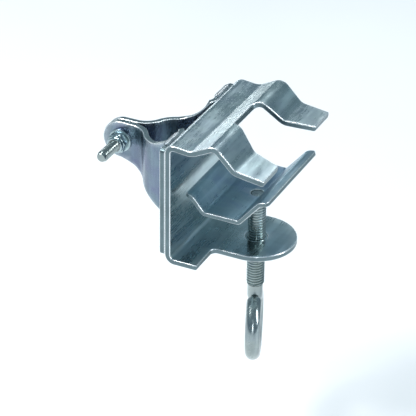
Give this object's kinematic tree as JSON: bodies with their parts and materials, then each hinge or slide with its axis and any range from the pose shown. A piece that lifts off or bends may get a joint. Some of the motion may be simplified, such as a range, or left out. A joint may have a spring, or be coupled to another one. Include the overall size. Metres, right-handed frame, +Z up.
{
  "type": "pipe clamp",
  "caption": "Zinc-plated pressed-steel pipe clamp: forked hook jaw with screw-driven saddle for a barrel, bolted collar for an upright tube.",
  "frame": {"origin": "on the axis of the upright tube that the collar holds, level with the axis of the barrel in the jaw", "axes": "+Z up along the upright tube, +X out of the jaw's mouth away from the upright, Y along the barrel"},
  "size_m": [0.1466, 0.11, 0.1941],
  "materials": {
    "bracket_zinc": "bright zinc plating on pressed plate, grey-blue, satin to bright",
    "collar_zinc": "bright zinc plating with a blue-violet passivation tint",
    "saddle_zinc": "bright zinc plating with a blue passivation tint",
    "screw_zinc": "bright zinc plating over a rolled thread and a bent rod",
    "bolt_zinc": "bright zinc plating",
    "nut_zinc": "bright zinc plating",
    "washer_zinc": "satin zinc plating",
    "weld_bead": "zinc plating over a rippled weld bead",
    "nylon": "natural nylon"
  },
  "bodies": {
    "root": {"hook_bracket": "bracket_zinc", "near_collar": "collar_zinc", "far_collar": "collar_zinc", "near_collar_weld": "weld_bead", "far_collar_weld": "weld_bead", "jaw_nut": "nut_zinc", "jaw_nut_weld": "weld_bead"},
    "saddle": {"saddle": "saddle_zinc", "saddle_washer": "washer_zinc"},
    "screw": {"clamp_screw": "screw_zinc"},
    "bolt": {"collar_bolt": "bolt_zinc", "bolt_washer": "washer_zinc"},
    "nut_carrier": {"nut_washer": "washer_zinc"},
    "lock_nut": {"collar_nut": "nut_zinc", "nut_insert": "nylon"}
  },
  "joints": [
    {"name": "saddle_slide", "type": "slide", "parent": "root", "child": "saddle", "axis": [0, 0, 1], "range_m": [-0.025, 0.015]},
    {"name": "screw_turn", "type": "hinge", "parent": "saddle", "child": "screw", "pos_m": [0.063, 0, -0.06], "axis": [0, 0, 1], "range_deg": [-4300, 2600]},
    {"name": "nut_slide", "type": "slide", "parent": "root", "child": "nut_carrier", "axis": [0, -1, 0], "range_m": [0, 0.012]},
    {"name": "nut_turn", "type": "hinge", "parent": "nut_carrier", "child": "lock_nut", "pos_m": [-0.041, -0.01, -0.0065], "axis": [0, -1, 0], "range_deg": [0, 3500]},
    {"name": "bolt_turn", "type": "hinge", "parent": "root", "child": "bolt", "pos_m": [-0.041, 0, -0.0065], "axis": [0, -1, 0], "continuous": true}
  ],
  "couplings": [
    {"joint": "screw_turn", "follows": "saddle_slide", "rad_per_m": 2968.4},
    {"joint": "nut_turn", "follows": "nut_slide", "rad_per_m": 5026.5}
  ]
}
